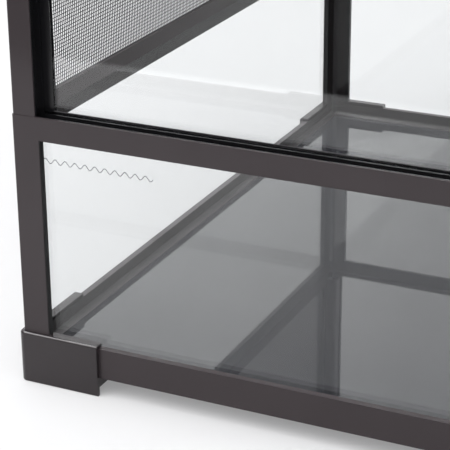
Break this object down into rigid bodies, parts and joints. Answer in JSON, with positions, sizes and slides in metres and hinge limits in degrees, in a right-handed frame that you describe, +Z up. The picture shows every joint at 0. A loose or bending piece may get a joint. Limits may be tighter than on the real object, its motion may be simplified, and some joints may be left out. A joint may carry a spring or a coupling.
{
  "type": "reptile terrarium",
  "caption": "Front-opening reptile terrarium with dark aluminium frame, shallow glass base, sliding glass doors, mesh sides and a lift-out mesh lid.",
  "frame": {"origin": "centre of the footprint on the surface that the feet stand on", "axes": "+Z up, -Y towards the sliding doors at the front, +X to the right seen from the front"},
  "size_m": [0.914, 0.457, 0.61],
  "materials": {
    "moulded_plastic": "moulded black, satin gloss",
    "dark_anodised_aluminium": "dark brown-black, satin",
    "clear_glass": "clear float glass, polished edges",
    "foam_sheet": "closed-cell foam, matt",
    "silicone": "sealant, glossy",
    "black_rubber": "soft black, satin",
    "coated_wire_mesh": "black coated woven wire",
    "steel": "zinc-plated"
  },
  "bodies": {
    "enclosure": {"foot_front_left": "moulded_plastic", "foot_front_right": "moulded_plastic", "foot_rear_left": "moulded_plastic", "foot_rear_right": "moulded_plastic", "base_rail_front": "dark_anodised_aluminium", "base_rail_rear": "dark_anodised_aluminium", "base_rail_left": "dark_anodised_aluminium", "base_rail_right": "dark_anodised_aluminium", "base_foam": "foam_sheet", "floor_pane": "clear_glass", "sealant_bead": "silicone", "lower_post_front_left": "dark_anodised_aluminium", "lower_post_front_right": "dark_anodised_aluminium", "lower_post_rear_left": "dark_anodised_aluminium", "lower_post_rear_right": "dark_anodised_aluminium", "mid_rail_front": "dark_anodised_aluminium", "mid_rail_rear": "dark_anodised_aluminium", "mid_rail_left": "dark_anodised_aluminium", "mid_rail_right": "dark_anodised_aluminium", "lower_pane_front": "clear_glass", "lower_pane_rear": "clear_glass", "lower_pane_left": "clear_glass", "lower_pane_right": "clear_glass", "glazing_strips": "black_rubber", "upper_post_front_left": "dark_anodised_aluminium", "upper_post_front_right": "dark_anodised_aluminium", "upper_post_rear_left": "dark_anodised_aluminium", "upper_post_rear_right": "dark_anodised_aluminium", "post_joiners": "moulded_plastic", "upper_pane_rear": "clear_glass", "mesh_frame_left": "dark_anodised_aluminium", "mesh_frame_right": "dark_anodised_aluminium", "side_mesh_left": "coated_wire_mesh", "side_mesh_right": "coated_wire_mesh", "track_lower": "moulded_plastic", "track_upper": "moulded_plastic", "jamb_left": "moulded_plastic", "jamb_right": "moulded_plastic", "top_rail_front": "dark_anodised_aluminium", "top_rail_rear": "dark_anodised_aluminium", "top_rail_left": "dark_anodised_aluminium", "top_rail_right": "dark_anodised_aluminium", "cap_front_left": "moulded_plastic", "cap_front_right": "moulded_plastic", "cap_rear_left": "moulded_plastic", "cap_rear_right": "moulded_plastic", "port_strip": "moulded_plastic", "foot_screws": "steel", "cap_screws": "steel"},
    "door_left": {"door_pane_left": "clear_glass", "door_pull_left": "moulded_plastic", "door_seal_left": "moulded_plastic"},
    "door_right": {"door_pane_right": "clear_glass", "door_pull_right": "moulded_plastic", "door_seal_right": "moulded_plastic"},
    "lid": {"lid_frame": "dark_anodised_aluminium", "lid_mesh": "coated_wire_mesh", "lid_tabs": "moulded_plastic"},
    "gate_left": {"port_gate_left": "moulded_plastic"},
    "gate_right": {"port_gate_right": "moulded_plastic"}
  },
  "joints": [
    {"name": "door_left_slide", "type": "slide", "parent": "enclosure", "child": "door_left", "axis": [1, 0, 0], "range_m": [0, 0.426]},
    {"name": "door_right_slide", "type": "slide", "parent": "enclosure", "child": "door_right", "axis": [-1, 0, 0], "range_m": [0, 0.426]},
    {"name": "lid_lift", "type": "slide", "parent": "enclosure", "child": "lid", "axis": [0, 0, 1], "range_m": [0, 0.2]},
    {"name": "gate_left_slide", "type": "slide", "parent": "enclosure", "child": "gate_left", "axis": [1, 0, 0], "range_m": [0, 0.062]},
    {"name": "gate_right_slide", "type": "slide", "parent": "enclosure", "child": "gate_right", "axis": [-1, 0, 0], "range_m": [0, 0.062]}
  ]
}
